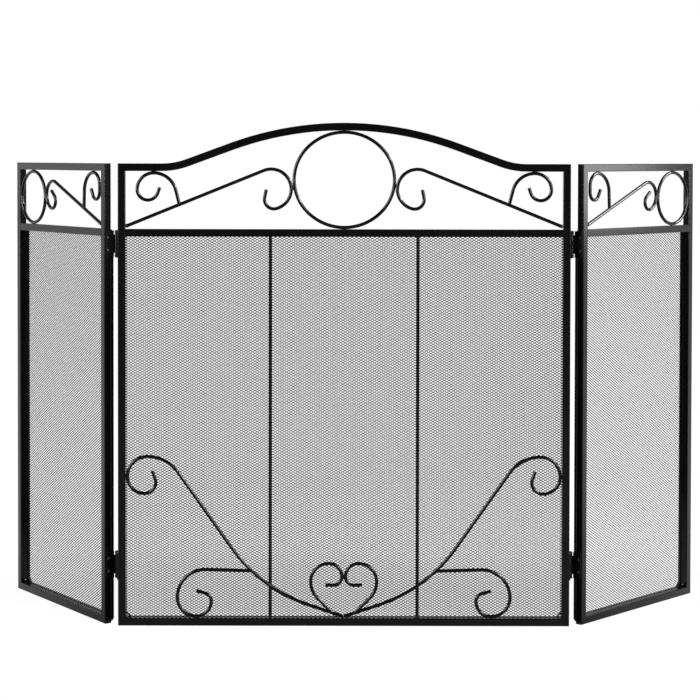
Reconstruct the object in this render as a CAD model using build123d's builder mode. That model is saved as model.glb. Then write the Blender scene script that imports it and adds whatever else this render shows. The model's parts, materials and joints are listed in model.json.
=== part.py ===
import os
from collections import namedtuple
from math import asin, atan2, cos, hypot, pi, radians, sin, sqrt

from build123d import *

# All sizes are in millimetres and degrees. The floor is z = 0, and y = 0 runs through the middle of
# the centre panel's tubes, with the front at -y.

# Panels
panel_width = 708.6
wing_width = 308.0
shoulder_height = 726.0
upper_field = 102.5  # from the top of the mid rail to the top of the shoulder
arch_rise = 64.0  # of the arch above the shoulder
arch_share = 0.806  # of half the panel's width, from the middle to where the shoulder is flat
arch_run = 0.255  # straight slope of the arch, as a share of that
shoulder_bend = 110.0  # top edge where the arch runs out into the shoulder
left_wing_angle = 54.4  # folded back from flat, as the screen stands
right_wing_angle = 46.6

# Square tube of the frames
tube = 12.0
tube_wall = 1.0
tube_edge = 1.2

# Round wire of the scrolls and round bar in front of the mesh
wire = 5.5
bar = 5.5
bar_share = 0.338  # of half the opening, from the middle of the panel to the bar
bar_standoff = 0.8  # between the bar and the mesh
touch_gap = 0.05  # left where two pieces are welded or screwed together

# Scrolls above the mid rail of the centre panel. A swing is the heading at which a curl goes over into
# its tighter eye, and an end the heading of its straight tail, in degrees from outwards to up.
ring_width = 162.4
diagonal_lift = 2.3  # of the diagonal's foot above the corner
curl_radius = 31.4
curl_rise = 62.5  # centre of the curl above the mid rail
curl_swing_angle = 345.0
curl_eye = 14.8
curl_end_angle = 101.0
curl_tail = 13.0
corner_place = 44.3  # crest of the corner scroll from the stile
corner_foot = 88.1  # along the diagonal scroll from its start
corner_shoulder = 35.4
corner_crest = 25.9
corner_eye = 16.6
corner_end_angle = 108.0
corner_tail = 9.0

# Scrolls below the mid rail
apex_angle = 18.4  # where the main scrolls meet on the bottom rail
apex_run = 0.164  # straight start of the main scroll, as a share of half the opening
apex_bend = 0.712  # and the radius of the bend after it
main_height = 235.0  # where the main scroll touches the stile
main_shoulder = 59.2
main_crest = 31.2
main_turn = 27.0
main_eye = 17.4
main_end_angle = 71.0
main_tail = 13.4
branch_angle = 43.3  # heading of the main scroll where the branch leaves it
branch_share = 0.677  # of half the opening, to where the branch scroll rests on the bottom rail
branch_top = 44.0
branch_side = 29.6
branch_turn = 23.8
branch_eye = 12.7
branch_end_angle = 16.0
branch_tail = 15.0
heart_height = 77.4  # where the two halves of the heart touch
heart_foot = 17.5  # along the main scroll from its start
heart_side = 36.8
heart_shoulder = 28.4
heart_crest = 20.6
heart_eye = 13.6
heart_end_angle = 2.0
heart_tail = 12.0

# Scrolls of a wing
wing_lift = 4.0
wing_curl_radius = 22.7
wing_curl_rise = 49.7
wing_curl_swing_angle = -162.0
wing_curl_eye = 12.0
wing_curl_end_angle = 38.0
wing_curl_tail = 12.0
wing_corner_place = 28.6  # crest of the corner scroll from the hinge stile
wing_corner_foot = 62.4
wing_corner_shoulder = 31.0
wing_corner_crest = 19.8
wing_corner_drop = 10.8
wing_corner_eye = 11.6
wing_corner_end_angle = 60.0
wing_corner_tail = 12.0

# Mesh, drawn as a coarse net, and the strips that clamp it to the back of the tubes
mesh_thickness = 1.0
centre_net_columns = 9
wing_net_columns = 4
net_rows = 15
net_strand = 4.0
strip_width = 10.6
strip_thickness = 4.2
strip_inset = 1.6  # from the tube's outer edge
strip_corner = 5.0  # cut off the outer corners of strips and mesh
tie_leg = 7.0  # diagonal tie across the lower corners of the strips
tie_width = 2.0
screw_pitch = 124.0
stile_screws = 4
centre_rail_screws = 4
wing_rail_screws = 2
screw_shank = 2.5
screw_head = 5.0
screw_head_height = 1.4

# Butt hinges
upper_hinge_drop = 24.0  # of the upper hinge's middle below the top of the mid rail
lower_hinge_height = 93.0
hinge_length = 42.0
end_knuckle = 6.0
knuckle_gap = 0.3
barrel = 6.0
barrel_gap = 0.9  # between barrel and stile
pin = 3.0
pin_gap = 0.05
pin_head = 4.4
pin_head_height = 1.0
leaf = 1.5
leaf_front = 4.5  # reach of the leaf in front of the tube's middle
rivet_pitch = 20.0
rivet_shank = 3.0
rivet_head = 5.0
rivet_head_height = 1.2
rivet_bulb = 4.2
rivet_bulb_length = 1.5
fold_gap = 0.9  # kept behind the screw heads when a wing is folded flat

# Places that follow from these sizes
arch_height = shoulder_height + arch_rise
mid_rail_top = shoulder_height - upper_field
rail_under = shoulder_height - tube
mid_rail_under = mid_rail_top - tube
centre_inner = panel_width / 2 - tube
arch_foot = arch_share * panel_width / 2
bar_place = bar_share * centre_inner
branch_place = branch_share * centre_inner
hinge_heights = {"upper": mid_rail_top - upper_hinge_drop, "lower": lower_hinge_height}
wing_inner = wing_width - tube
wire_seat = wire / 2 + touch_gap  # from a face to the middle of the wire that lies against it
bar_depth = bar / 2 + bar_standoff - tube / 2
wire_depth = bar_depth + bar / 2 + touch_gap + wire / 2
mesh_back = tube / 2 + mesh_thickness
strip_back = mesh_back + strip_thickness
hinge_gap = barrel / 2 + barrel_gap
hinge_behind = strip_back + screw_head_height + fold_gap
hinge_side = panel_width / 2 + hinge_gap
ring_half_width = ring_width / 2 - wire / 2
ring_half_height = (arch_height - tube - mid_rail_top) / 2 - wire_seat
ring_middle = (arch_height - tube + mid_rail_top) / 2

pieces = {}


# Panel planes: x to the right and y up as seen from the front, z towards the viewer

def wing_plane(hand, fold):
    angle = radians(hand * fold)
    across = hand * hinge_gap
    origin_x = hand * hinge_side + across * cos(angle) + hinge_behind * sin(angle)
    origin_y = hinge_behind + across * sin(angle) - hinge_behind * cos(angle)
    return Plane(
        origin=(origin_x, origin_y, 0),
        x_dir=(cos(angle), sin(angle), 0),
        z_dir=(sin(angle), -cos(angle), 0),
    )


centre_plane = Plane(origin=(0, 0, 0), x_dir=(1, 0, 0), z_dir=(0, -1, 0))
hands = {"left": -1, "right": 1}
wing_planes = {
    "left": wing_plane(-1, left_wing_angle),
    "right": wing_plane(1, right_wing_angle),
}


def spot(panel, x, y, depth=0.0):
    return panel.from_local_coords(Vector(x, y, depth))


# Routes of bent wire. A wire is led round pegs: arcs on the pegs, and straight runs tangent to two of
# them. A peg's turn is 1 where the wire goes round it to the left and -1 to the right, and a plain
# point is a peg of radius 0. A bend is two points for a straight run and three for an arc. In the
# routes u runs outwards, from the middle of the centre panel or from the hinge edge of a wing.

Peg = namedtuple("Peg", "u v radius turn")


def touch(peg, heading):
    reach = peg.turn * peg.radius
    return (peg.u + reach * sin(heading), peg.v - reach * cos(heading))


def taken_over(peg, degrees_heading, radius):
    heading = radians(degrees_heading)
    shift = peg.turn * (radius - peg.radius)
    return Peg(peg.u - shift * sin(heading), peg.v + shift * cos(heading), radius, peg.turn)


def leaned_on(start, degrees_heading, run, radius):
    heading = radians(degrees_heading)
    landing_u = start.u + run * cos(heading)
    landing_v = start.v + run * sin(heading)
    return Peg(landing_u - radius * sin(heading), landing_v + radius * cos(heading), radius, 1)


def run_heading(first, second):
    du = second.u - first.u
    dv = second.v - first.v
    share = (second.radius * second.turn - first.radius * first.turn) / hypot(du, dv)
    return atan2(dv, du) - asin(max(-1.0, min(1.0, share)))


def led_round(pegs, end_heading, tail):
    headings = [run_heading(a, b) for a, b in zip(pegs, pegs[1:])] + [radians(end_heading)]
    here = touch(pegs[0], headings[0])
    bends = []
    for index, peg in enumerate(pegs[1:], start=1):
        arrive = headings[index - 1]
        leave = headings[index]
        landing = touch(peg, arrive)
        if hypot(landing[0] - here[0], landing[1] - here[1]) > touch_gap:
            bends.append((here, landing))
            here = landing
        turned = (peg.turn * (leave - arrive)) % (2 * pi)
        bends.append((here, touch(peg, arrive + peg.turn * turned / 2), touch(peg, leave)))
        here = bends[-1][-1]
    end = (here[0] + tail * cos(headings[-1]), here[1] + tail * sin(headings[-1]))
    return bends + [(here, end)]


def point_along(run, distance):
    (u0, v0), (u1, v1) = run
    share = distance / hypot(u1 - u0, v1 - v0)
    return Peg(u0 + share * (u1 - u0), v0 + share * (v1 - v0), 0, 1)


# A ring is drawn as an oval of four arcs that meet on its diagonals

def oval_side_radius(half_width, half_height):
    return (half_width + half_height - sqrt(2) * half_width) / (2 - sqrt(2))


def oval(u, v, half_width, half_height):
    side = oval_side_radius(half_width, half_height)
    join_u = half_width - side + side / sqrt(2)
    join_v = side / sqrt(2)
    corners = [(u + a * join_u, v + b * join_v) for a, b in ((1, -1), (1, 1), (-1, 1), (-1, -1))]
    middles = [(u + half_width, v), (u, v + half_height), (u - half_width, v), (u, v - half_height)]
    return [(corners[i], middles[i], corners[(i + 1) % 4]) for i in range(4)]


def draw(bends, hand):
    for bend in bends:
        points = [(hand * u, v) for u, v in bend]
        if len(points) == 2:
            Line(*points)
        else:
            ThreePointArc(*points)


# Round wire bent along a route, its first end cut to the wire that it is welded to

def wire_along(panel, hand, bends, radius):
    with BuildPart() as rod:
        with BuildLine(panel.offset(wire_depth)) as path:
            draw(bends, hand)
        with BuildSketch(Plane(origin=path.line @ 0, z_dir=path.line % 0)):
            Circle(radius)
        sweep()
    return rod.part


def bent_wire(panel, hand, bends, welded_to=None):
    with BuildPart() as rod:
        add(wire_along(panel, hand, bends, wire / 2))
        if welded_to:
            add(wire_along(panel, hand, welded_to, wire_seat), mode=Mode.SUBTRACT)
    return rod.part


# Square tube along a route, mitred at the frame's corners and drilled for screws and rivets

def square_tube(panel, bends, mitres=(), screws=(), rivets=()):
    bore = tube - 2 * tube_wall
    with BuildPart(panel) as length:
        with BuildLine(panel) as path:
            draw(bends, 1)
        with BuildSketch(Plane(origin=path.line @ 0, x_dir=panel.z_dir, z_dir=path.line % 0)):
            RectangleRounded(tube, tube, tube_edge)
            Rectangle(bore, bore, mode=Mode.SUBTRACT)
        sweep()
        for x, y, keep_x, keep_y in mitres:
            keep = panel.x_dir * keep_x + panel.y_dir * keep_y
            split(bisect_by=Plane(origin=spot(panel, x, y), z_dir=keep))
        if screws:
            with Locations(*[(x, y, -tube / 2) for x, y in screws]):
                Cylinder(screw_shank / 2 + touch_gap, 2 * tube_wall + tube_edge, mode=Mode.SUBTRACT)
        if rivets:
            with Locations(*[Location((x, y, 0), (0, 90, 0)) for x, y in rivets]):
                Cylinder(rivet_shank / 2 + touch_gap, 2 * tube_wall + tube_edge, mode=Mode.SUBTRACT)
    return length.part


def spread(middle, pitch, count):
    return [middle + pitch * (i - (count - 1) / 2) for i in range(count)]


def stile_screw_places(x):
    return [(x, y) for y in spread(mid_rail_top / 2, screw_pitch, stile_screws)]


def rail_screw_places(left, right, count, y):
    return [(x, y) for x in spread((left + right) / 2, screw_pitch, count)]


def rivet_places(x):
    return [(x, y) for middle in hinge_heights.values() for y in spread(middle, rivet_pitch, 2)]


def frame_tubes(panel, names, left, right, rail_screws, riveted, top_route):
    top = shoulder_height
    low = tube / 2
    mid = mid_rail_top - tube / 2
    for name, x, inward in ((names["left"], left, 1), (names["right"], right, -1)):
        line = x + inward * tube / 2
        mitres = [(x, 0, -inward, 1), (x, top, -inward, -1)]
        rivets = rivet_places(x) if x in riveted else []
        pieces[name] = square_tube(panel, [((line, 0), (line, top))], mitres, stile_screw_places(line), rivets)
    mitres = [(left, 0, 1, -1), (right, 0, -1, -1)]
    screws = rail_screw_places(left, right, rail_screws, low)
    pieces[names["bottom"]] = square_tube(panel, [((left, low), (right, low))], mitres, screws)
    screws = rail_screw_places(left, right, rail_screws, mid)
    pieces[names["mid"]] = square_tube(panel, [((left + tube, mid), (right - tube, mid))], (), screws)
    mitres = [(left, top, 1, 1), (right, top, -1, 1)]
    pieces[names["top"]] = square_tube(panel, top_route, mitres)


# Mesh sheet as a net with staggered diamond gaps, halved at the edges of the field, and the strips
# behind it

def screw_places(left, right, rail_screws):
    places = stile_screw_places(left + tube / 2) + stile_screw_places(right - tube / 2)
    for y in (tube / 2, mid_rail_top - tube / 2):
        places += rail_screw_places(left, right, rail_screws, y)
    return places


def net_gap(i, j, columns):
    side_u = (i == columns) - (i == -columns)
    side_v = (j == net_rows) - (j == -net_rows)
    corners = [c for c in ((1, 0), (0, 1), (-1, 0), (0, -1)) if c not in ((side_u, 0), (0, side_v))]
    return corners if len(corners) > 2 else corners + [(0, 0)]


def mesh_sheet(panel, left, right, rail_screws, columns):
    middle_u, middle_v = (left + right) / 2, mid_rail_top / 2
    half_u = (right - left - 2 * tube) / columns / 2
    half_v = (mid_rail_under - tube) / net_rows / 2
    gap_u = half_u - net_strand
    gap_v = gap_u * half_v / half_u
    edge_u = (right - left) / 2 - strip_inset
    edge_v = mid_rail_top / 2 - strip_inset
    cut_u, cut_v = edge_u - strip_corner, edge_v - strip_corner
    octagon = [(-cut_u, -edge_v), (cut_u, -edge_v), (edge_u, -cut_v), (edge_u, cut_v)]
    octagon += [(-u, -v) for u, v in octagon]
    places = [(i, j) for i in range(-columns, columns + 1) for j in range(-net_rows, net_rows + 1)]
    gaps = [
        [
            (middle_u + i * half_u + a * gap_u, middle_v + j * half_v + b * gap_v)
            for a, b in net_gap(i, j, columns)
        ]
        for i, j in places
        if (i + j + columns + net_rows) % 2 == 0
    ]
    drilled = [
        Wire.make_circle(screw_shank / 2 + touch_gap, Plane((x, y, 0)))
        for x, y in screw_places(left, right, rail_screws)
    ]
    outline = Wire.make_polygon([(middle_u + u, middle_v + v) for u, v in octagon])
    net = Face(outline, [Wire.make_polygon(gap) for gap in gaps] + drilled)
    with BuildPart() as sheet:
        with BuildSketch(panel.offset(-mesh_back)):
            add(net)
        extrude(amount=mesh_thickness)
    return sheet.part


def mitred_strip(start, end):
    start += touch_gap
    end -= touch_gap
    half = strip_corner / 2
    outer = [(start + strip_corner, 0), (end - strip_corner, 0), (end - half, half)]
    inner = [(end - strip_width, strip_width), (start + strip_width, strip_width)]
    return outer + inner + [(start + half, half)]


def strip_outlines(left, right):
    x0, x1 = left + strip_inset, right - strip_inset
    y0, y1 = strip_inset, mid_rail_top - strip_inset
    outlines = []
    for y, inward in ((y0, 1), (y1, -1)):
        outlines.append([(x, y + inward * rise) for x, rise in mitred_strip(x0, x1)])
    for x, inward in ((x0, 1), (x1, -1)):
        outlines.append([(x + inward * rise, y) for y, rise in mitred_strip(y0, y1)])
    for x, inward in ((x0 + strip_width, 1), (x1 - strip_width, -1)):
        outlines.append(tie_outline(x + inward * touch_gap, y0 + strip_width + touch_gap, inward))
    return outlines


def tie_outline(x, y, inward):
    near = tie_leg - tie_width * sqrt(2)
    return [(x, y + tie_leg), (x, y + near), (x + inward * near, y), (x + inward * tie_leg, y)]


def mesh_retainer(panel, left, right, rail_screws):
    with BuildPart() as strips:
        with BuildSketch(panel.offset(-strip_back)):
            for outline in strip_outlines(left, right):
                with BuildLine():
                    Polyline(*outline, close=True)
                make_face()
            with Locations(*screw_places(left, right, rail_screws)):
                Circle(screw_shank / 2 + touch_gap, mode=Mode.SUBTRACT)
        extrude(amount=strip_thickness)
    return strips.part


# Turned fasteners, drawn as radius and height above the face that their head lies on

def dome(radius, height):
    return [(radius, 0.35 * height), (0.7 * radius, 0.82 * height), (0, height)]


def turned(outline):
    with BuildPart() as item:
        with BuildSketch(Plane.XZ):
            with BuildLine():
                Polyline(*outline, close=True)
            make_face()
        revolve(axis=Axis.Z)
    return item.part


def group(item, planes):
    with BuildPart() as items:
        with Locations(*[plane.location for plane in planes]):
            add(item)
    return items.part


screw_depth = strip_thickness + mesh_thickness + tube_wall
screw = turned(
    [(0, -screw_depth), (screw_shank / 2, -screw_depth), (screw_shank / 2, 0), (screw_head / 2, 0)]
    + dome(screw_head / 2, screw_head_height)
)

rivet_grip = leaf + tube_wall
rivet_end = rivet_grip + rivet_bulb_length
rivet = turned(
    [(0, -rivet_end), (rivet_bulb / 2, -rivet_end), (rivet_bulb / 2, -rivet_grip), (rivet_shank / 2, -rivet_grip)]
    + [(rivet_shank / 2, 0), (rivet_head / 2, 0)]
    + dome(rivet_head / 2, rivet_head_height)
)

pin_dome = dome(pin_head / 2, pin_head_height)
hinge_pin = turned(
    [(radius, -height) for radius, height in reversed(pin_dome)]
    + [(pin_head / 2, 0), (pin / 2, 0), (pin / 2, hinge_length), (pin_head / 2, hinge_length)]
    + [(radius, hinge_length + height) for radius, height in pin_dome]
)


def retainer_screws(panel, left, right, rail_screws):
    places = screw_places(left, right, rail_screws)
    back = -panel.z_dir
    return group(screw, [Plane(spot(panel, x, y, -strip_back), panel.x_dir, back) for x, y in places])


def leaf_rivets(panel, face, outward):
    way = panel.x_dir * outward
    places = rivet_places(face + outward * leaf)
    return group(rivet, [Plane(spot(panel, x, y), panel.y_dir, way) for x, y in places])


# Hinge leaf on the side face of a stile, outward being the way that face looks. The frame leaf holds
# the pin in two end knuckles, and the wing leaf has one long knuckle between them.

def hinge_leaf(panel, face, outward, middle, end_knuckles):
    axis_x = face + outward * hinge_gap
    plate_x = face + outward * leaf / 2
    plate_back = hinge_behind - barrel / 2 - knuckle_gap
    if end_knuckles:
        length = end_knuckle
        knuckles = spread(middle, hinge_length - end_knuckle, 2)
    else:
        length = hinge_length - 2 * (end_knuckle + knuckle_gap)
        knuckles = [middle]
    with BuildPart(panel) as plate:
        with Locations((plate_x, middle, (leaf_front - plate_back) / 2)):
            Box(leaf, hinge_length, leaf_front + plate_back)
        with Locations(*[(plate_x, y, -(plate_back + hinge_behind) / 2) for y in knuckles]):
            Box(leaf, length, hinge_behind - plate_back)
        with Locations(*[Location((axis_x, y, -hinge_behind), (90, 0, 0)) for y in knuckles]):
            Cylinder(barrel / 2, length)
        with Locations(Location((axis_x, middle, -hinge_behind), (90, 0, 0))):
            Cylinder(pin / 2 + pin_gap, hinge_length, mode=Mode.SUBTRACT)
        with Locations(*[Location((face, y, 0), (0, 90, 0)) for y in spread(middle, rivet_pitch, 2)]):
            Cylinder(rivet_shank / 2 + touch_gap, 3 * leaf, mode=Mode.SUBTRACT)
    return plate.part


# Centre panel frame with its arched top

left_edge, right_edge = -panel_width / 2, panel_width / 2
bend_height = shoulder_height + shoulder_bend
arch_slope = 2 * atan2(arch_rise, arch_foot * (1 + arch_run))
arch_radii = arch_foot * (1 - arch_run * cos(arch_slope)) / sin(arch_slope)
crown_radius = arch_radii - shoulder_bend
arch_route = led_round(
    [
        Peg(left_edge, shoulder_height - tube / 2, 0, 1),
        Peg(-arch_foot, bend_height, shoulder_bend + tube / 2, 1),
        Peg(0, arch_height - crown_radius, crown_radius - tube / 2, -1),
        Peg(arch_foot, bend_height, shoulder_bend + tube / 2, 1),
    ],
    0,
    right_edge - arch_foot,
)
centre_names = {
    "left": "centre_left_stile",
    "right": "centre_right_stile",
    "bottom": "centre_bottom_rail",
    "mid": "centre_mid_rail",
    "top": "centre_top_arch",
}
frame_tubes(
    centre_plane, centre_names, left_edge, right_edge, centre_rail_screws, (left_edge, right_edge), arch_route
)
pieces["centre_mesh"] = mesh_sheet(
    centre_plane, left_edge, right_edge, centre_rail_screws, centre_net_columns
)
pieces["centre_mesh_retainer"] = mesh_retainer(centre_plane, left_edge, right_edge, centre_rail_screws)
pieces["centre_retainer_screws"] = retainer_screws(centre_plane, left_edge, right_edge, centre_rail_screws)

# Ring between the arch and the mid rail
pieces["centre_ring"] = bent_wire(
    centre_plane, 1, oval(0, ring_middle, ring_half_width, ring_half_height)
)

# Diagonal scroll from the corner, curling against the ring
ring_side = oval_side_radius(ring_half_width, ring_half_height)
curl_height = mid_rail_top + curl_rise
curl_reach = ring_side + wire + touch_gap + curl_radius
curl_place = ring_half_width - ring_side + sqrt(curl_reach**2 - (ring_middle - curl_height) ** 2)
curl = Peg(curl_place, curl_height, curl_radius, 1)
diagonal_route = led_round(
    [
        Peg(centre_inner - wire_seat, mid_rail_top + wire_seat + diagonal_lift, 0, 1),
        curl,
        taken_over(curl, curl_swing_angle, curl_eye),
    ],
    curl_end_angle,
    curl_tail,
)

# Corner scroll from the diagonal, cresting under the shoulder of the arch
crest_top = rail_under - wire_seat
crest = Peg(centre_inner - corner_place, crest_top - corner_crest, corner_crest, -1)
corner_route = led_round(
    [
        point_along(diagonal_route[0], corner_foot),
        taken_over(crest, 0, corner_shoulder),
        crest,
        taken_over(crest, -90, corner_eye),
    ],
    corner_end_angle,
    corner_tail,
)

# Main scroll from the middle of the bottom rail up to the stile
apex_lift = tube + wire_seat
apex = Peg(wire / 2 * sin(radians(apex_angle)) + touch_gap, apex_lift, 0, 1)
apex_bend_peg = leaned_on(apex, apex_angle, apex_run * centre_inner, apex_bend * centre_inner)
main_crest_peg = Peg(centre_inner - wire_seat - main_crest, main_height, main_crest, -1)
main_turn_peg = taken_over(main_crest_peg, -90, main_turn)
main_route = led_round(
    [
        apex,
        apex_bend_peg,
        taken_over(main_crest_peg, 0, main_shoulder),
        main_crest_peg,
        main_turn_peg,
        taken_over(main_turn_peg, 180, main_eye),
    ],
    main_end_angle,
    main_tail,
)

# Branch scroll from the main scroll's bend, resting on the bottom rail
branch_side_peg = Peg(branch_place, apex_lift + branch_side, branch_side, -1)
branch_turn_peg = taken_over(branch_side_peg, 180, branch_turn)
branch_route = led_round(
    [
        Peg(*touch(apex_bend_peg, radians(branch_angle)), 0, 1),
        taken_over(branch_side_peg, -90, branch_top),
        branch_side_peg,
        branch_turn_peg,
        taken_over(branch_turn_peg, 90, branch_eye),
    ],
    branch_end_angle,
    branch_tail,
)

# Half of the heart, touching its other half on the middle line
heart_crest_peg = Peg(wire_seat + heart_crest, heart_height, heart_crest, 1)
heart_shoulder_peg = taken_over(heart_crest_peg, 180, heart_shoulder)
heart_route = led_round(
    [
        point_along(main_route[0], heart_foot),
        taken_over(heart_shoulder_peg, 90, heart_side),
        heart_shoulder_peg,
        heart_crest_peg,
        taken_over(heart_crest_peg, 270, heart_eye),
    ],
    heart_end_angle,
    heart_tail,
)

bar_length = mid_rail_under - tube - 2 * touch_gap
for side, hand in hands.items():
    pieces[f"centre_{side}_diagonal_scroll"] = bent_wire(centre_plane, hand, diagonal_route)
    pieces[f"centre_{side}_corner_scroll"] = bent_wire(centre_plane, hand, corner_route, diagonal_route)
    pieces[f"lower_{side}_main_scroll"] = bent_wire(centre_plane, hand, main_route)
    pieces[f"lower_{side}_branch_scroll"] = bent_wire(centre_plane, hand, branch_route, main_route)
    pieces[f"heart_{side}_scroll"] = bent_wire(centre_plane, hand, heart_route, main_route)
    with BuildPart(centre_plane) as upright:
        with Locations(Location((hand * bar_place, (mid_rail_under + tube) / 2, bar_depth), (90, 0, 0))):
            Cylinder(bar / 2, bar_length)
    pieces[f"{side}_mesh_bar"] = upright.part

# Wing scrolls: ring against the outer stile, diagonal curling against it, corner scroll above
wing_ring_radius = (rail_under - mid_rail_top) / 2 - wire_seat
wing_ring_place = wing_inner - wire_seat - wing_ring_radius
wing_ring_middle = (rail_under + mid_rail_top) / 2
wing_ring_route = oval(wing_ring_place, wing_ring_middle, wing_ring_radius, wing_ring_radius)
wing_curl_height = mid_rail_top + wing_curl_rise
wing_curl_reach = wing_ring_radius + wire + touch_gap + wing_curl_radius
wing_curl_offset = sqrt(wing_curl_reach**2 - (wing_ring_middle - wing_curl_height) ** 2)
wing_curl = Peg(wing_ring_place - wing_curl_offset, wing_curl_height, wing_curl_radius, -1)
wing_diagonal_route = led_round(
    [
        Peg(tube + wire_seat, mid_rail_top + wire_seat + wing_lift, 0, 1),
        wing_curl,
        taken_over(wing_curl, wing_curl_swing_angle, wing_curl_eye),
    ],
    wing_curl_end_angle,
    wing_curl_tail,
)
wing_crest = Peg(tube + wing_corner_place, crest_top - wing_corner_crest, wing_corner_crest, 1)
wing_eye = taken_over(wing_crest, 270, wing_corner_eye)
wing_corner_route = led_round(
    [
        point_along(wing_diagonal_route[0], wing_corner_foot),
        taken_over(wing_crest, 180, wing_corner_shoulder),
        wing_crest,
        wing_eye._replace(v=wing_eye.v - wing_corner_drop),
    ],
    wing_corner_end_angle,
    wing_corner_tail,
)

# Wings and hinges, one side at a time
for side, hand in hands.items():
    panel = wing_planes[side]
    left, right = sorted((0.0, hand * wing_width))
    other = {"left": "right", "right": "left"}[side]
    names = {
        side: f"{side}_outer_stile",
        other: f"{side}_hinge_stile",
        "bottom": f"{side}_bottom_rail",
        "mid": f"{side}_mid_rail",
        "top": f"{side}_top_rail",
    }
    top_line = shoulder_height - tube / 2
    frame_tubes(panel, names, left, right, wing_rail_screws, (0.0,), [((left, top_line), (right, top_line))])
    pieces[f"{side}_ring"] = bent_wire(panel, hand, wing_ring_route)
    pieces[f"{side}_diagonal_scroll"] = bent_wire(panel, hand, wing_diagonal_route)
    pieces[f"{side}_corner_scroll"] = bent_wire(panel, hand, wing_corner_route, wing_diagonal_route)
    pieces[f"{side}_mesh"] = mesh_sheet(panel, left, right, wing_rail_screws, wing_net_columns)
    pieces[f"{side}_mesh_retainer"] = mesh_retainer(panel, left, right, wing_rail_screws)
    pieces[f"{side}_retainer_screws"] = retainer_screws(panel, left, right, wing_rail_screws)
    face = hand * panel_width / 2
    for level, middle in hinge_heights.items():
        pieces[f"{side}_{level}_hinge_frame_leaf"] = hinge_leaf(centre_plane, face, hand, middle, True)
        pieces[f"{side}_{level}_hinge_wing_leaf"] = hinge_leaf(panel, 0, -hand, middle, False)
        foot = Plane(spot(centre_plane, hand * hinge_side, middle - hinge_length / 2, -hinge_behind))
        pieces[f"{side}_{level}_hinge_pin"] = group(hinge_pin, [foot])
    pieces[f"{side}_frame_leaf_rivets"] = leaf_rivets(centre_plane, face, hand)
    pieces[f"{side}_wing_leaf_rivets"] = leaf_rivets(panel, 0, -hand)

os.makedirs("parts", exist_ok=True)
for name, piece in pieces.items():
    piece.label = name
    export_step(piece, f"parts/{name}.step")
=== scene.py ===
import json
import math

import bpy
import numpy as np
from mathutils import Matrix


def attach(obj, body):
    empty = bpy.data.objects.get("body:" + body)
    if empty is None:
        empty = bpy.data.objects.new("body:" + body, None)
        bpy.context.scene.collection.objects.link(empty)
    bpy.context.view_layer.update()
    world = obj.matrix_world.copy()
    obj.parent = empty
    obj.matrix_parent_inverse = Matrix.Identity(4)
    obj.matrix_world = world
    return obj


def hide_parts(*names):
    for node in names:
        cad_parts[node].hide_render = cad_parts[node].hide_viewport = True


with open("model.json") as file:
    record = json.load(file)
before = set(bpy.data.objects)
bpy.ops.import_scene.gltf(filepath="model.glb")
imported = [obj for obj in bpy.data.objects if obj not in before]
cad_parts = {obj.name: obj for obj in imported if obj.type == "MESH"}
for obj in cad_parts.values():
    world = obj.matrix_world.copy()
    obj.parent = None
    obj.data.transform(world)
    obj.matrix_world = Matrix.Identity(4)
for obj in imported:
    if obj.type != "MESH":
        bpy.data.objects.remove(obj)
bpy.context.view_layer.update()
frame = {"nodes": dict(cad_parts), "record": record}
nodes = frame["nodes"]
print("frame loaded with", len(nodes), "nodes")

up = np.array([0.0, 0.0, 1.0])
fullTurn = 2 * math.pi
scene = bpy.context.scene
scene.view_settings.view_transform = "Standard"

# camera at the height and distance that the photograph's perspective gives, angles in degrees
viewpoint = {
    "place": (0.0, -3.0274, 0.7409),
    "pitchDown": 1.385,
    "roll": 0.1,
    "lens": 99.5,
    "sensor": 36.0,
    "shift": (0.0080, -0.2129),
    "clip": (0.05, 100.0),
}


def placeCamera(setting):
    data = bpy.data.cameras.new("viewpoint")
    data.sensor_width = setting["sensor"]
    data.lens = setting["lens"]
    data.shift_x, data.shift_y = setting["shift"]
    data.clip_start, data.clip_end = setting["clip"]
    camera = bpy.data.objects.new("viewpoint", data)
    camera.location = setting["place"]
    pitch, roll = math.radians(90.0 - setting["pitchDown"]), math.radians(-setting["roll"])
    camera.rotation_euler = (pitch, roll, 0.0)
    scene.collection.objects.link(camera)
    scene.camera = camera


placeCamera(viewpoint)
print("camera placed")

# side boxes that the folded wings mirror, tall boxes in front and a level bar that draw lines of
# light on the round wires, and one box overhead
softBoxes = {
    "rightBox": {
        "place": (2.6, -0.1, 1.35), "aim": (0.3, 0.05, 0.6), "size": (1.5, 1.7), "watts": 42.0},
    "leftBox": {
        "place": (-2.4, 1.15, 0.95), "aim": (-0.4, 0.1, 0.85), "size": (0.9, 0.6), "watts": 0.7},
    "rightStrip": {
        "place": (1.6, -1.75, 1.4), "aim": (0.3, 0.1, 1.2), "size": (0.4, 1.7), "watts": 32.0},
    "leftStrip": {
        "place": (-2.1, -1.2, 1.4), "aim": (-0.3, 0.1, 1.2), "size": (1.0, 1.7), "watts": 62.0},
    "rightBar": {
        "place": (2.4, 0.0, 1.9), "aim": (0.4, 0.05, 0.65), "size": (1.3, 0.3), "watts": 60.0},
    "overheadBox": {
        "place": (0.0, 0.7, 2.6), "aim": (0.0, 0.2, 0.0), "size": (2.4, 1.4), "watts": 14.0},
}

# studio as the coats mirror it: dim in front, white behind, with a darker ceiling
surround = {
    "front": 0.04,
    "back": 1.0,
    "from": -0.45,  # where the brightening towards the back starts and ends
    "to": 0.95,
    "open": 1.0,
    "ceiling": 0.12,
    "wallTop": 0.12,  # where the darkening towards the ceiling starts and ends
    "ceilingEdge": 0.45,
    "around": 0.3,  # plain light for all that isn't mirrored
}
rampEnds = ("From Min", "From Max", "To Min", "To Max")


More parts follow.
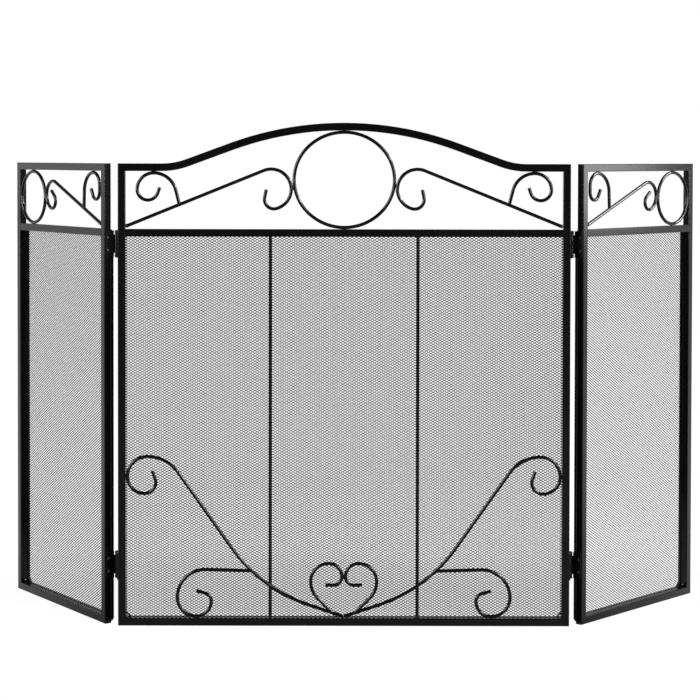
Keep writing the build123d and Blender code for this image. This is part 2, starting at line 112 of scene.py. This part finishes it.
# lamp that shines along its own -Z: tilted up from straight down, then turned to face its aim
def hangSoftBox(name, setting):
    data = bpy.data.lights.new(name, "AREA")
    data.shape = "RECTANGLE"
    data.size, data.size_y = setting["size"]
    data.energy = setting["watts"]
    lamp = bpy.data.objects.new(name, data)
    way = np.subtract(setting["aim"], setting["place"])
    tilt = math.atan2(math.hypot(way[0], way[1]), -way[2])
    turn = math.atan2(way[1], way[0]) - math.pi / 2
    lamp.location = setting["place"]
    lamp.rotation_euler = (tilt, 0.0, turn)
    scene.collection.objects.link(lamp)


# ramp between two values, its ends in the order of rampEnds
def rampNode(tree, setting, keys, interpolation="SMOOTHSTEP"):
    node = tree.nodes.new("ShaderNodeMapRange")
    node.interpolation_type = interpolation
    for end, key in zip(rampEnds, keys):
        node.inputs[end].default_value = setting[key]
    return node


def mathNode(tree, operation):
    node = tree.nodes.new("ShaderNodeMath")
    node.operation = operation
    return node


# white to the camera and through clear things; mirrored strength = back ramp * ceiling ramp
def lightSurround(setting):
    world = bpy.data.worlds.new("studio")
    world.use_nodes = True
    scene.world = world
    tree = world.node_tree
    add, link = tree.nodes.new, tree.links.new
    background = tree.nodes["Background"]
    background.inputs["Color"].default_value = (1.0, 1.0, 1.0, 1.0)
    direction, parts = add("ShaderNodeTexCoord"), add("ShaderNodeSeparateXYZ")
    rays, mirrored = add("ShaderNodeLightPath"), add("ShaderNodeMix")
    mirrored.inputs["A"].default_value = setting["around"]
    fade = rampNode(tree, setting, ("from", "to", "front", "back"))
    darken = rampNode(tree, setting, ("wallTop", "ceilingEdge", "open", "ceiling"))
    walls = mathNode(tree, "MULTIPLY")
    seen, through = mathNode(tree, "MAXIMUM"), mathNode(tree, "MAXIMUM")
    link(direction.outputs["Generated"], parts.inputs[0])
    link(parts.outputs["Y"], fade.inputs["Value"])
    link(parts.outputs["Z"], darken.inputs["Value"])
    link(fade.outputs["Result"], walls.inputs[0])
    link(darken.outputs["Result"], walls.inputs[1])
    link(rays.outputs["Is Glossy Ray"], mirrored.inputs["Factor"])
    link(walls.outputs[0], mirrored.inputs["B"])
    link(rays.outputs["Is Camera Ray"], seen.inputs[0])
    link(mirrored.outputs["Result"], seen.inputs[1])
    link(rays.outputs["Is Transmission Ray"], through.inputs[0])
    link(seen.outputs[0], through.inputs[1])
    link(through.outputs[0], background.inputs["Strength"])


for boxName, boxSetting in softBoxes.items():
    hangSoftBox(boxName, boxSetting)
lightSurround(surround)
print("light set")


# mesh from whole arrays: quads as rows of four point numbers, triangles as rows of three
def meshFrom(name, points, quads, triangles=None):
    triangles = np.zeros((0, 3), np.int64) if triangles is None else triangles
    corners = np.concatenate([quads.ravel(), triangles.ravel()]).astype(np.int32)
    quadStarts = np.arange(len(quads)) * 4
    triangleStarts = len(quads) * 4 + np.arange(len(triangles)) * 3
    starts = np.concatenate([quadStarts, triangleStarts])
    mesh = bpy.data.meshes.new(name)
    mesh.vertices.add(len(points))
    mesh.vertices.foreach_set("co", points.astype(np.float32).ravel())
    mesh.loops.add(len(corners))
    mesh.loops.foreach_set("vertex_index", corners)
    mesh.polygons.add(len(starts))
    mesh.polygons.foreach_set("loop_start", starts.astype(np.int32))
    mesh.update(calc_edges=True)
    mesh.validate()
    return mesh


# six times the volume that the quads enclose, which is positive where they face outwards
def enclosed(points, quads):
    a, b, c, d = (points[quads[:, i]] for i in range(4))
    return (np.cross(a, b) * c).sum() + (np.cross(a, c) * d).sum()


def addPiece(name, mesh, body, material, smooth=False):
    mesh.polygons.foreach_set("use_smooth", np.full(len(mesh.polygons), smooth))
    mesh.materials.append(material)
    piece = bpy.data.objects.new(name, mesh)
    scene.collection.objects.link(piece)
    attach(piece, body)
    return piece


def cadPoints(name):
    mesh = nodes[name].data
    points = np.empty(len(mesh.vertices) * 3, np.float32)
    mesh.vertices.foreach_get("co", points)
    return points.reshape(-1, 3).astype(float)


# a panel's own directions, from its flat sheet of mesh: across it to the right, and out of its
# front; its reach is the least and the greatest of points . direction
def panelOf(sheetName):
    points = cadPoints(sheetName)
    flat = points[:, :2] - points[:, :2].mean(0)
    across = np.linalg.svd(flat, full_matrices=False)[2][0]
    across = np.append(across * np.sign(across[0]), 0.0)
    front = np.array([across[1], -across[0], 0.0])
    panel = {"across": across, "front": front}
    for way, least, most in (
        (across, "left", "right"), (front, "back", "face"), (up, "low", "high"),
    ):
        along = points @ way
        panel[least], panel[most] = along.min(), along.max()
    return panel


panels = {
    "centre_panel": panelOf("centre_mesh"),
    "left_wing": panelOf("left_mesh"),
    "right_wing": panelOf("right_mesh"),
}
print("panels read from the frame")

# sprayed and baked coat: fine grain, faint patches, specks of gloss, and dust on upward faces
bakedCoat = {
    "patches": (9.0, 3.0),  # scale and detail of a noise
    "specks": (420.0, 2.0),
    "grainDetail": 2.0,
    "spread": (0.35, 0.7),  # part of the noise that runs from deep to pale
    "gloss": (0.3, 0.7),  # part that runs from smooth to rough
    "lying": (0.55, 0.95),  # slope at which dust starts to lie and lies in full
    "amount": (0.4, 0.75),  # part that runs from clean to dusty
    "dustColour": (0.16, 0.15, 0.14, 1.0),
    "blueTint": 1.03,
    "grainDepth": 0.0002,
}
coatInputs = {
    "Deep": "NodeSocketColor",
    "Pale": "NodeSocketColor",
    "Grain Size": "NodeSocketFloat",
    "Smooth": "NodeSocketFloat",
    "Rough": "NodeSocketFloat",
    "Dust": "NodeSocketFloat",
}
coatOutputs = {
    "Colour": "NodeSocketColor",
    "Roughness": "NodeSocketFloat",
    "Height": "NodeSocketFloat",
}


# colour = deep to pale by patches, then towards dust by slope * specks; roughness follows the specks
def makeCoatGroup(setting):
    group = bpy.data.node_groups.new("bakedCoat", "ShaderNodeTree")
    for way, sockets in (("INPUT", coatInputs), ("OUTPUT", coatOutputs)):
        for name, kind in sockets.items():
            group.interface.new_socket(name=name, in_out=way, socket_type=kind)
    add, link = group.nodes.new, group.links.new
    given, result = add("NodeGroupInput"), add("NodeGroupOutput")
    place, surface = add("ShaderNodeTexCoord"), add("ShaderNodeNewGeometry")
    level, settle = add("ShaderNodeSeparateXYZ"), mathNode(group, "MULTIPLY")
    patches, specks, grain = (add("ShaderNodeTexNoise") for _ in range(3))
    for noise in (patches, specks, grain):
        link(place.outputs["Object"], noise.inputs["Vector"])
    for noise, key in ((patches, "patches"), (specks, "specks")):
        noise.inputs["Scale"].default_value, noise.inputs["Detail"].default_value = setting[key]
    grain.inputs["Detail"].default_value = setting["grainDetail"]
    link(given.outputs["Grain Size"], grain.inputs["Scale"])
    tone, dusty = add("ShaderNodeMix"), add("ShaderNodeMix")
    tone.data_type = dusty.data_type = "RGBA"
    dusty.inputs["B"].default_value = setting["dustColour"]
    spread, gloss, lying, amount = (add("ShaderNodeMapRange") for _ in range(4))
    for node, key in (
        (spread, "spread"), (gloss, "gloss"), (lying, "lying"), (amount, "amount"),
    ):
        for end, value in zip(rampEnds, setting[key]):
            node.inputs[end].default_value = value
    link(patches.outputs["Fac"], spread.inputs["Value"])
    link(spread.outputs["Result"], tone.inputs["Factor"])
    link(given.outputs["Deep"], tone.inputs["A"])
    link(given.outputs["Pale"], tone.inputs["B"])
    link(surface.outputs["Normal"], level.inputs[0])
    link(level.outputs["Z"], lying.inputs["Value"])
    link(given.outputs["Dust"], lying.inputs["To Max"])
    link(specks.outputs["Fac"], amount.inputs["Value"])
    link(lying.outputs["Result"], settle.inputs[0])
    link(amount.outputs["Result"], settle.inputs[1])
    link(settle.outputs[0], dusty.inputs["Factor"])
    link(tone.outputs["Result"], dusty.inputs["A"])
    link(dusty.outputs["Result"], result.inputs["Colour"])
    link(specks.outputs["Fac"], gloss.inputs["Value"])
    link(given.outputs["Smooth"], gloss.inputs["To Min"])
    link(given.outputs["Rough"], gloss.inputs["To Max"])
    link(gloss.outputs["Result"], result.inputs["Roughness"])
    link(grain.outputs["Fac"], result.inputs["Height"])
    return group


coatGroup = makeCoatGroup(bakedCoat)
finishes = {
    "frame_black": {
        "deep": 0.002, "pale": 0.004, "grain": 700.0, "smooth": 0.12, "rough": 0.18,
        "dust": 0.05, "bump": 0.03, "metal": 0.0, "mirror": 0.4},
    "wire_black": {
        "deep": 0.002, "pale": 0.004, "grain": 900.0, "smooth": 0.09, "rough": 0.12,
        "dust": 0.03, "bump": 0.015, "metal": 0.0, "mirror": 0.45},
    "weld_black": {
        "deep": 0.002, "pale": 0.004, "grain": 1300.0, "smooth": 0.25, "rough": 0.4,
        "dust": 0.05, "bump": 0.3, "metal": 0.0, "mirror": 0.5},
    "mesh_black": {
        "deep": 0.002, "pale": 0.004, "grain": 1500.0, "smooth": 0.24, "rough": 0.36,
        "dust": 0.02, "bump": 0.1, "metal": 0.0, "mirror": 0.5},
    "hinge_black": {
        "deep": 0.003, "pale": 0.007, "grain": 1100.0, "smooth": 0.12, "rough": 0.22,
        "dust": 0.04, "bump": 0.06, "metal": 0.0, "mirror": 0.45},
    "fastener_steel": {
        "deep": 0.07, "pale": 0.15, "grain": 1800.0, "smooth": 0.2, "rough": 0.4,
        "dust": 0.05, "bump": 0.2, "metal": 0.85, "mirror": 0.5},
    "stud_zinc": {
        "deep": 0.3, "pale": 0.5, "grain": 1800.0, "smooth": 0.25, "rough": 0.45,
        "dust": 0.05, "bump": 0.2, "metal": 0.7, "mirror": 0.5},
}


def makeFinish(name, setting):
    material = bpy.data.materials.new(name)
    material.use_nodes = True
    tree = material.node_tree
    link = tree.links.new
    shader = tree.nodes["Principled BSDF"]
    coat, relief = tree.nodes.new("ShaderNodeGroup"), tree.nodes.new("ShaderNodeBump")
    coat.node_tree = coatGroup
    for socket, key in (("Deep", "deep"), ("Pale", "pale")):
        grey = setting[key]
        coat.inputs[socket].default_value = (grey, grey, grey * bakedCoat["blueTint"], 1.0)
    for socket, key in (
        ("Grain Size", "grain"), ("Smooth", "smooth"), ("Rough", "rough"), ("Dust", "dust"),
    ):
        coat.inputs[socket].default_value = setting[key]
    relief.inputs["Strength"].default_value = setting["bump"]
    relief.inputs["Distance"].default_value = bakedCoat["grainDepth"]
    shader.inputs["Metallic"].default_value = setting["metal"]
    shader.inputs["Specular IOR Level"].default_value = setting["mirror"]
    link(coat.outputs["Colour"], shader.inputs["Base Color"])
    link(coat.outputs["Roughness"], shader.inputs["Roughness"])
    link(coat.outputs["Height"], relief.inputs["Height"])
    link(relief.outputs["Normal"], shader.inputs["Normal"])
    return material


materials = {name: makeFinish(name, setting) for name, setting in finishes.items()}
for part in frame["record"]["subparts"]:
    slots = nodes[part["node"]].data.materials
    slots.clear()
    slots.append(materials[part["material_slot"]])
print("finishes put on", len(nodes), "nodes")

# expanded metal: zigzag strands with their upper edges forward, which meet in bonds; each sheet is
# laid in fields, one above the other, and all rows of a field are one array
expandedMetal = {
    "pitchAcross": 0.0071,
    "pitchUp": 0.0042,
    "strand": {"centre_panel": 0.0011, "left_wing": 0.001, "right_wing": 0.0008},
    "thickness": 0.00028,
    "lean": 0.00025,  # how far the upper edge is forward, and the lower one back
    "bond": 0.1,  # share of a strand's width by which two strands' middles stay apart at a bond
    "fields": {
        "centre_panel": ("centre_mesh", 3),
        "left_wing": ("left_mesh", 2),
        "right_wing": ("right_mesh", 2),
    },
}


# point (row, step) of a strand: across = left + step * half pitch, height = row's middle plus or
# minus half a row in turn, with the four corners of its section set round that point
def strandField(panel, low, rows, strand, setting):
    steps = round((panel["right"] - panel["left"]) / setting["pitchAcross"] * 2)
    stride = (panel["right"] - panel["left"]) / steps
    rowRise = setting["pitchUp"] / 2
    half = strand / 2 * math.hypot(stride, rowRise) / stride
    row, step = np.meshgrid(np.arange(rows), np.arange(steps + 1), indexing="ij")
    turn = np.where((row + step) % 2 == 0, 1.0, -1.0)
    height = low + (row + 0.5) * rowRise + turn * (rowRise / 2 - half * setting["bond"])
    across = panel["left"] + step * stride
    depth = (panel["face"] + panel["back"]) / 2
    upper = np.array([1.0, 1.0, -1.0, -1.0])
    outer = np.array([1.0, -1.0, -1.0, 1.0])
    rise = upper * half
    out = outer * setting["thickness"] / 2 + upper * setting["lean"]
    points = (
        across[:, :, None, None] * panel["across"]
        + (height[:, :, None] + rise)[..., None] * up
        + (depth + out)[None, None, :, None] * panel["front"]
    ).reshape(-1, 3)
    number = np.arange(len(points)).reshape(rows, steps + 1, 4)
    here, there = number[:, :-1], number[:, 1:]
    sides = np.stack([here, np.roll(here, -1, 2), np.roll(there, -1, 2), there], -1).reshape(-1, 4)
    ends = np.concatenate([number[:, 0, ::-1], number[:, -1]])
    quads = np.concatenate([sides, ends])
    if enclosed(points, quads) < 0:
        quads = quads[:, ::-1]
    return points, quads


# fields share a sheet's rows in even counts, so that the zigzag runs on from field to field
def layMesh(setting):
    rowRise = setting["pitchUp"] / 2
    for body, (sheetName, count) in setting["fields"].items():
        panel, strand = panels[body], setting["strand"][body]
        rows = int((panel["high"] - panel["low"]) / rowRise)
        starts = [rows * i // count // 2 * 2 for i in range(count)] + [rows]
        for i in range(count):
            low = panel["low"] + starts[i] * rowRise
            points, quads = strandField(panel, low, starts[i + 1] - starts[i], strand, setting)
            name = f"{sheetName}_field_{i + 1}"
            mesh = meshFrom(name, points, quads)
            piece = addPiece(name, mesh, body, materials["mesh_black"])
            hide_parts(sheetName)


layMesh(expandedMetal)
print("expanded metal laid")

# weld beads where wire meets tube or wire: lumps of uneven radius, flattened against the joint
weldBead = {
    "seam": (0.0036, 0.0016, 0.0019),  # half sizes across, up and to the front
    "foot": (0.0034, 0.0031, 0.0027),
    "touch": (0.0012, 0.0030, 0.0018),
    "lines": 7,
    "spokes": 12,
    "uneven": 0.12,
    "seed": 5,
    "tipDepth": 0.0002,  # points this near to the furthest or the closest ones are averaged
    "searchMargin": 0.006,
    "footSlope": (0.93, 0.37),  # outward and downward shares of a diagonal's run to its foot
}


# spot on a wire that reaches furthest one way
def reachOf(name, way):
    points = cadPoints(name)
    along = points @ way
    return points[along > along.max() - weldBead["tipDepth"]].mean(0)


# spot halfway between the nearest points of two wires
def meetingOf(first, second):
    a, b = cadPoints(first), cadPoints(second)
    margin = weldBead["searchMargin"]
    a = a[((a > b.min(0) - margin) & (a < b.max(0) + margin)).all(1)]
    b = b[((b > a.min(0) - margin) & (b < a.max(0) + margin)).all(1)]
    apart = np.linalg.norm(a[:, None] - b[None], axis=-1)
    near = np.argwhere(apart < apart.min() + weldBead["tipDepth"])
    return (a[near[:, 0]].mean(0) + b[near[:, 1]].mean(0)) / 2


def centreBeads():
    across = panels["centre_panel"]["across"]
    footOut, footDown = weldBead["footSlope"]
    beads = [(reachOf("centre_ring", up), "seam"), (reachOf("centre_ring", -up), "seam")]
    for side, out in (("left", -across), ("right", across)):
        diagonal, corner = f"centre_{side}_diagonal_scroll", f"centre_{side}_corner_scroll"
        main, branch = f"lower_{side}_main_scroll", f"lower_{side}_branch_scroll"
        heart = f"heart_{side}_scroll"
        beads += [
            (meetingOf("centre_ring", diagonal), "touch"),
            (reachOf(diagonal, out * footOut - up * footDown), "foot"),
            (reachOf(corner, up), "seam"),
            (reachOf(corner, -up), "foot"),
            (reachOf(main, out), "touch"),
            (reachOf(branch, -up), "seam"),
            (reachOf(heart, -out), "touch"),
        ]
    return beads


def wingBeads(side, out):
    ring, corner = f"{side}_ring", f"{side}_corner_scroll"
    return [
        (reachOf(ring, up), "seam"),
        (reachOf(ring, -up), "seam"),
        (reachOf(ring, out), "touch"),
        (meetingOf(ring, f"{side}_diagonal_scroll"), "touch"),
        (reachOf(corner, up), "seam"),
        (reachOf(corner, -up), "foot"),
    ]


# lump: ball of latitude a and longitude b, with a pair of random turns p and q, whose
# radius = 1 + uneven * sin a * (sin(2b + p) + cos(3a + q) / 2)
def beadLumps(beads, panel, setting):
    rng = np.random.default_rng(setting["seed"])
    lines, spokes = setting["lines"], setting["spokes"]
    count = len(beads)
    a = np.linspace(0.0, math.pi, lines)[None, :, None]
    b = (np.arange(spokes) * fullTurn / spokes)[None, None, :]
    p, q = (rng.uniform(0, fullTurn, (count, 1, 1)) for _ in range(2))
    wave = np.sin(2 * b + p) * np.sin(a) + np.cos(3 * a + q) / 2 * np.sin(a)
    radius = 1 + setting["uneven"] * wave
    aside, height, out = np.sin(a) * np.cos(b), np.cos(a), np.sin(a) * np.sin(b)
    shape = np.stack([aside * radius, height * radius, out * radius], -1)
    shape = shape * np.array([setting[kind] for _, kind in beads])[:, None, None, :]
    axes = np.stack([panel["across"], up, panel["front"]])
    spots = np.array([spot for spot, _ in beads])[:, None, None, :]
    points = (spots + shape @ axes).reshape(-1, 3)
    number = np.arange(count * lines * spokes).reshape(count, lines, spokes)
    here, there = number[:, 1:-2], number[:, 2:-1]
    quads = np.stack([here, np.roll(here, -1, 2), np.roll(there, -1, 2), there], -1).reshape(-1, 4)
    caps = []
    for pole, ring, flip in ((number[:, 0], number[:, 1], 1), (number[:, -1], number[:, -2], -1)):
        tips = np.repeat(pole[:, :1], spokes, 1)
        cap = np.stack([tips, np.roll(ring, -1, 1), ring], -1).reshape(-1, 3)
        caps.append(cap[:, ::flip])
    triangles = np.concatenate(caps)
    if enclosed(points, quads) < 0:
        quads, triangles = quads[:, ::-1], triangles[:, ::-1]
    corners = np.concatenate([quads.ravel(), triangles.ravel()])
    used, corners = np.unique(corners, return_inverse=True)  # one point is left at each pole
    return points[used], corners[:quads.size].reshape(-1, 4), corners[quads.size:].reshape(-1, 3)


beadSets = {
    "centre_panel": centreBeads(),
    "left_wing": wingBeads("left", -panels["left_wing"]["across"]),
    "right_wing": wingBeads("right", panels["right_wing"]["across"]),
}
for body, beads in beadSets.items():
    name = f"{body}_weld_beads"
    mesh = meshFrom(name, *beadLumps(beads, panels[body], weldBead))
    addPiece(name, mesh, body, materials["weld_black"], smooth=True)
print("weld beads set")

# studs at the lower corners of each mesh sheet: low domes on the inner walls of the stiles
cornerStud = {
    "radius": 0.0016,
    "height": 0.0011,
    "sunk": 0.0004,
    "before": 0.0032,  # in front of the mesh
    "above": 0.0032,  # above the bottom rail
    "rings": 6,
    "spokes": 14,
    "stiles": {
        "centre_panel": ("centre_left_stile", "centre_right_stile", "centre_bottom_rail"),
        "left_wing": ("left_outer_stile", "left_hinge_stile", "left_bottom_rail"),
        "right_wing": ("right_hinge_stile", "right_outer_stile", "right_bottom_rail"),
    },
}


# dome at angle a from its crown and b round it: out = height * cos a, aside = radius * sin a,
# closed by a base that is sunk into the wall
def studDomes(spots, axes, setting):
    rings, spokes = setting["rings"], setting["spokes"]
    radius, height, sunk = setting["radius"], setting["height"], setting["sunk"]
    a = np.linspace(0.0, math.pi / 2, rings + 1)[1:, None]
    b = (np.arange(spokes) * fullTurn / spokes)[None, :]
    aside = np.concatenate([np.sin(a) * radius, [[radius]]])
    out = np.concatenate([np.cos(a) * height, [[-sunk]]])
    shape = np.stack([aside * np.cos(b), aside * np.sin(b), out + 0 * b], -1).reshape(-1, 3)
    shape = np.concatenate([shape, [[0.0, 0.0, height], [0.0, 0.0, -sunk]]])
    points = (np.array(spots)[:, None, :] + shape @ np.array(axes)).reshape(-1, 3)
    number = np.arange((rings + 1) * spokes).reshape(rings + 1, spokes)
    here, there = number[:-1], number[1:]
    quads = np.stack([here, there, np.roll(there, -1, 1), np.roll(here, -1, 1)], -1).reshape(-1, 4)
    crown, base = np.full(spokes, number.size), np.full(spokes, number.size + 1)
    triangles = np.concatenate([
        np.stack([crown, number[0], np.roll(number[0], -1)], -1),
        np.stack([base, np.roll(number[-1], -1), number[-1]], -1),
    ])
    step = (np.arange(len(spots)) * len(shape))[:, None, None]
    return points, (quads[None] + step).reshape(-1, 4), (triangles[None] + step).reshape(-1, 3)


def setStuds(setting):
    for body, (leftStile, rightStile, rail) in setting["stiles"].items():
        across, front = panels[body]["across"], panels[body]["front"]
        depth = panels[body]["face"] + setting["before"]
        height = cadPoints(rail)[:, 2].max() + setting["above"]
        middle = depth * front + height * up
        leftWall = (cadPoints(leftStile) @ across).max()
        rightWall = (cadPoints(rightStile) @ across).min()
        spots = [middle + leftWall * across, middle + rightWall * across]
        axes = [(up, front, across), (front, up, -across)]
        name = f"{body}_corner_studs"
        mesh = meshFrom(name, *studDomes(spots, axes, setting))
        addPiece(name, mesh, body, materials["stud_zinc"], smooth=True)


setStuds(cornerStud)
print("corner studs set")

# pale floor that shows white to the camera and keeps the object's shadow; its colour is a painted
# shade, greyer in front, that the coats mirror, and a painted shadow lowers the white in a patch
# that lies mostly behind the screen
floorSetting = {
    "half": 15.0,
    "roughness": 0.9,
    "mirror": 0.1,
    # painted shade: the floor's colour is darker in front so that the coats mirror a dim front; the
    # camera sees it mostly as white
    "paintedFrontGrey": 0.1,
    "paintedBackGrey": 0.9,
    "frontEdge": -0.03,
    "backEdge": 0.55,
    "white": 1.02,
    "frontPaintedShadow": 0.06,  # share of the white taken away, a painted shadow through which the floor's own lit and shadowed colour shows
    "backPaintedShadow": 0.3,
    "shadeFrom": -0.03,
    "shadeTo": 0.15,
    "shadeMiddle": (0.0, 0.75, 0.0),
    "near": 0.3,  # distances from the middle between which the painted shadow fades out
    "far": 0.95,
    "none": 0.0,
}


# share of white = greatest of camera, transmission and glossy * grey, times 1 - shade, where shade
# is a painted shadow round shadeMiddle
def paintFloor(setting):
    material = bpy.data.materials.new("paleFloor")
    material.use_nodes = True
    tree = material.node_tree
    add, link = tree.nodes.new, tree.links.new
    shader = tree.nodes["Principled BSDF"]
    shader.inputs["Roughness"].default_value = setting["roughness"]
    shader.inputs["Specular IOR Level"].default_value = setting["mirror"]
    white, blend = add("ShaderNodeEmission"), add("ShaderNodeMixShader")
    white.inputs["Strength"].default_value = setting["white"]
    place, parts = add("ShaderNodeTexCoord"), add("ShaderNodeSeparateXYZ")
    rays, away = add("ShaderNodeLightPath"), add("ShaderNodeVectorMath")
    away.operation = "DISTANCE"
    away.inputs[1].default_value = setting["shadeMiddle"]
    # painted shade: floor colour ramp, dark in front and pale behind
    grey = rampNode(tree, setting, ("frontEdge", "backEdge", "paintedFrontGrey", "paintedBackGrey"), "LINEAR")
    # painted shadow: deepest behind the screen, slight in front, faded out by distance from
    # shadeMiddle
    deepest = rampNode(tree, setting, ("shadeFrom", "shadeTo", "frontPaintedShadow", "backPaintedShadow"))
    shade = rampNode(tree, setting, ("near", "far", "none", "none"))
    mirrored, share = mathNode(tree, "MULTIPLY"), mathNode(tree, "MULTIPLY")
    seen, through = mathNode(tree, "MAXIMUM"), mathNode(tree, "MAXIMUM")
    kept = mathNode(tree, "SUBTRACT")
    kept.inputs[0].default_value = 1.0
    link(place.outputs["Object"], parts.inputs[0])
    link(place.outputs["Object"], away.inputs[0])
    link(parts.outputs["Y"], grey.inputs["Value"])
    link(parts.outputs["Y"], deepest.inputs["Value"])
    link(grey.outputs["Result"], shader.inputs["Base Color"])
    link(away.outputs["Value"], shade.inputs["Value"])
    link(deepest.outputs["Result"], shade.inputs["To Min"])
    link(shade.outputs["Result"], kept.inputs[1])
    # glossy rays see the white in the share of the painted grey, a painted reflection that is dim in
    # front and bright behind
    link(rays.outputs["Is Glossy Ray"], mirrored.inputs[0])
    link(grey.outputs["Result"], mirrored.inputs[1])
    link(rays.outputs["Is Camera Ray"], seen.inputs[0])
    link(mirrored.outputs[0], seen.inputs[1])
    link(rays.outputs["Is Transmission Ray"], through.inputs[0])
    link(seen.outputs[0], through.inputs[1])
    link(through.outputs[0], share.inputs[0])
    link(kept.outputs[0], share.inputs[1])
    link(share.outputs[0], blend.inputs["Fac"])
    link(shader.outputs[0], blend.inputs[1])
    link(white.outputs[0], blend.inputs[2])
    link(blend.outputs[0], tree.nodes["Material Output"].inputs["Surface"])
    return material


def layFloor(setting):
    sides = np.array([(-1.0, -1.0, 0.0), (1.0, -1.0, 0.0), (1.0, 1.0, 0.0), (-1.0, 1.0, 0.0)])
    mesh = meshFrom("floor", sides * setting["half"], np.array([[0, 1, 2, 3]]))
    mesh.materials.append(paintFloor(setting))
    floor = bpy.data.objects.new("floor", mesh)
    scene.collection.objects.link(floor)


layFloor(floorSetting)
print("floor laid")
